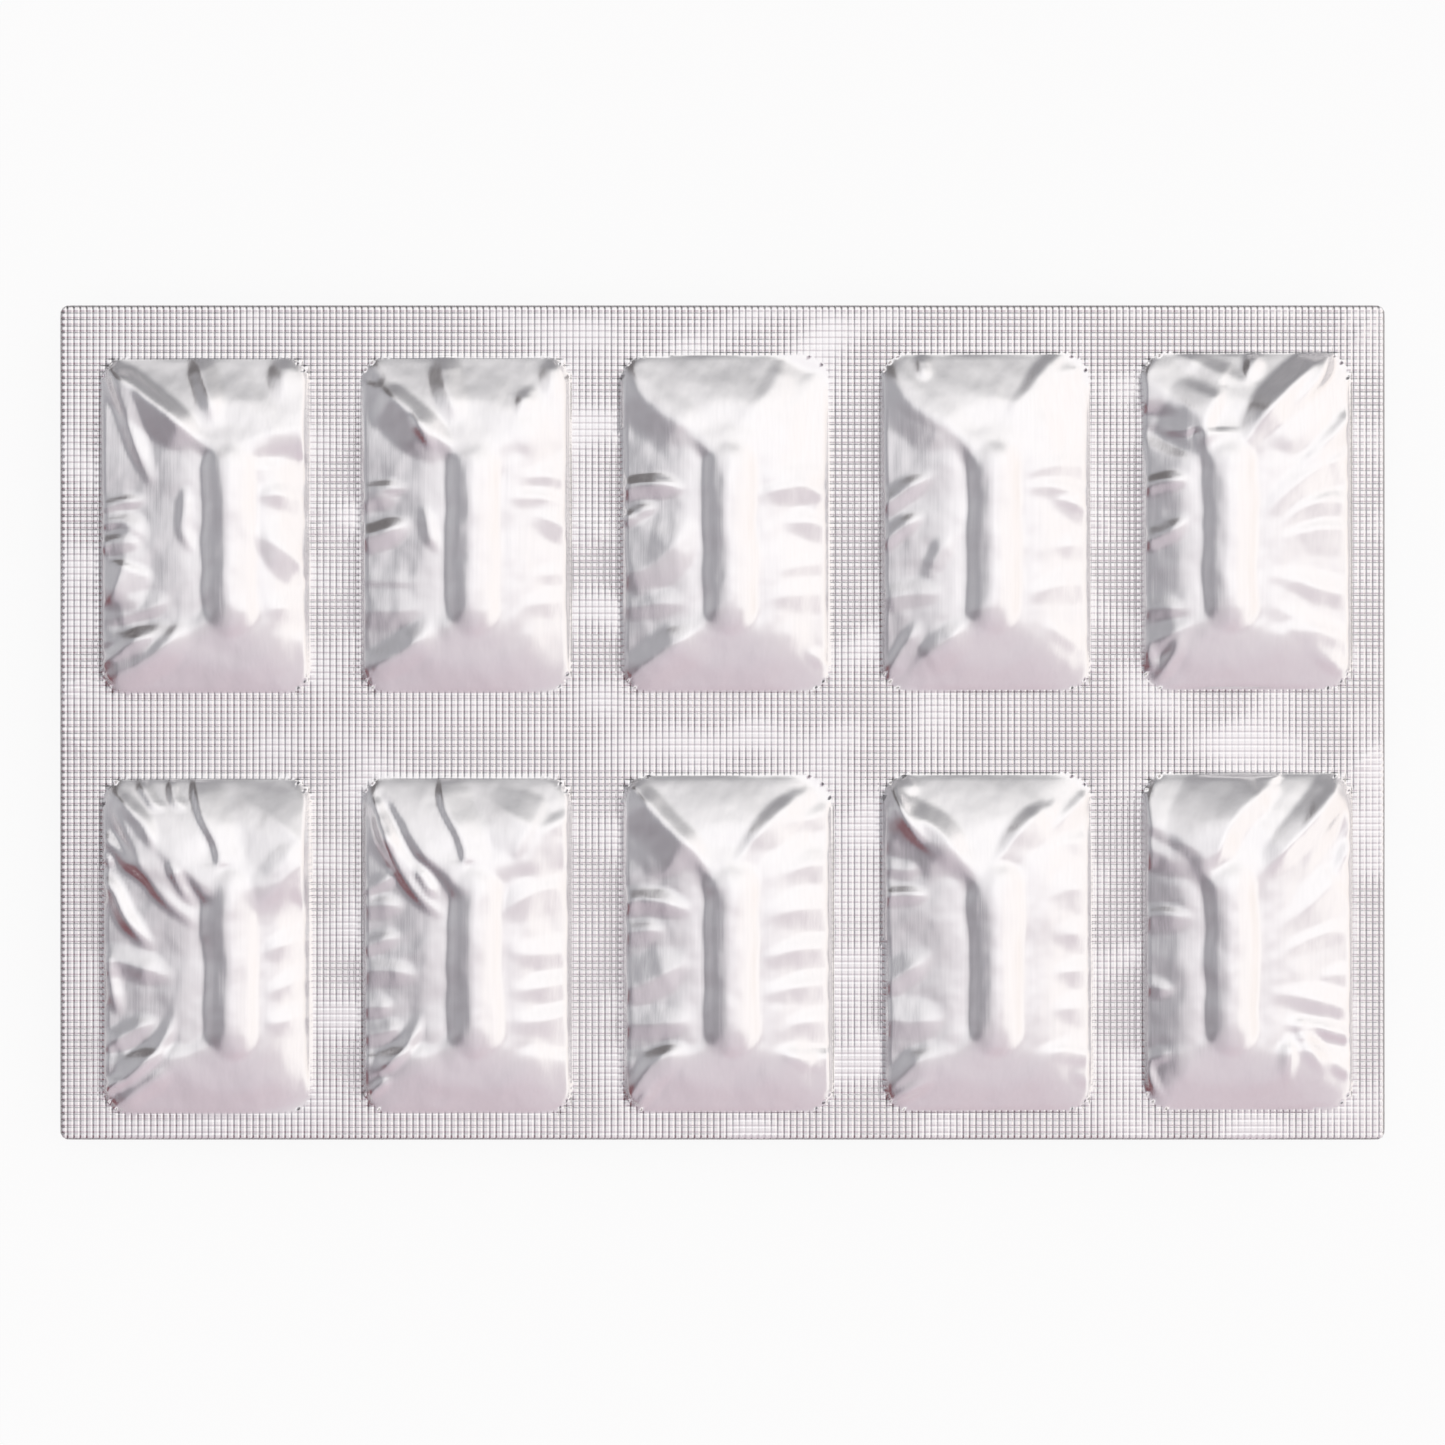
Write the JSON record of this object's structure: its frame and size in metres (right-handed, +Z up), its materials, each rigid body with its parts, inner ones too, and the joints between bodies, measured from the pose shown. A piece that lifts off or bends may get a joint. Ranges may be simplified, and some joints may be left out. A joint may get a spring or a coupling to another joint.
{
  "type": "pill blister pack",
  "caption": "Flat silver foil pill pack with a knurled seal round rows of rounded pockets, each crinkled over one capsule.",
  "frame": {"origin": "on the surface that the pack lies on, under the centre of its box", "axes": "+X along the pack's long side, +Y along the capsules, towards the wide margin; +Z up, off the surface that the pack lies on"},
  "size_m": [0.1324, 0.0834, 0.0078],
  "materials": {
    "foil": "soft bright rolled foil, satin, knurled at the seal"
  },
  "bodies": {
    "root": {"foil_pack": "foil"}
  },
  "joints": []
}
